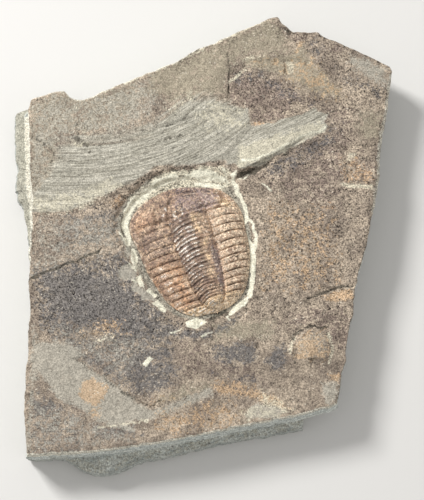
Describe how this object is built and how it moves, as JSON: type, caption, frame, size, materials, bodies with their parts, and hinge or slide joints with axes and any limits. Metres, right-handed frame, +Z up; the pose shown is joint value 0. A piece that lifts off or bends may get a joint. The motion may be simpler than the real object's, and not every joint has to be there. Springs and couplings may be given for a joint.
{
  "type": "trilobite fossil",
  "caption": "Natural trilobite fossil seated in a prepared pocket on a broken slab of layered siltstone; display specimen that lies flat.",
  "frame": {"origin": "under the middle of the whole specimen, on the plane it rests on", "axes": "+Z up out of the bedding plane that shows the fossil, +Y towards the pointed end of the slab, +X to the right seen from above"},
  "size_m": [0.1317, 0.1585, 0.0182],
  "materials": {
    "matrix_rock": "dry layered siltstone, brown-grey and granular with dark purple-grey stains, rusty spots and pale scraped patches; a matt mineral, not plastic",
    "fossil_shell": "rust-orange mineralised shell with a darker purple-grey axis and a faint silvery sheen on the ribs; a mineral, not plastic"
  },
  "bodies": {
    "root": {"matrix_slab": "matrix_rock", "trilobite": "fossil_shell"}
  },
  "joints": []
}
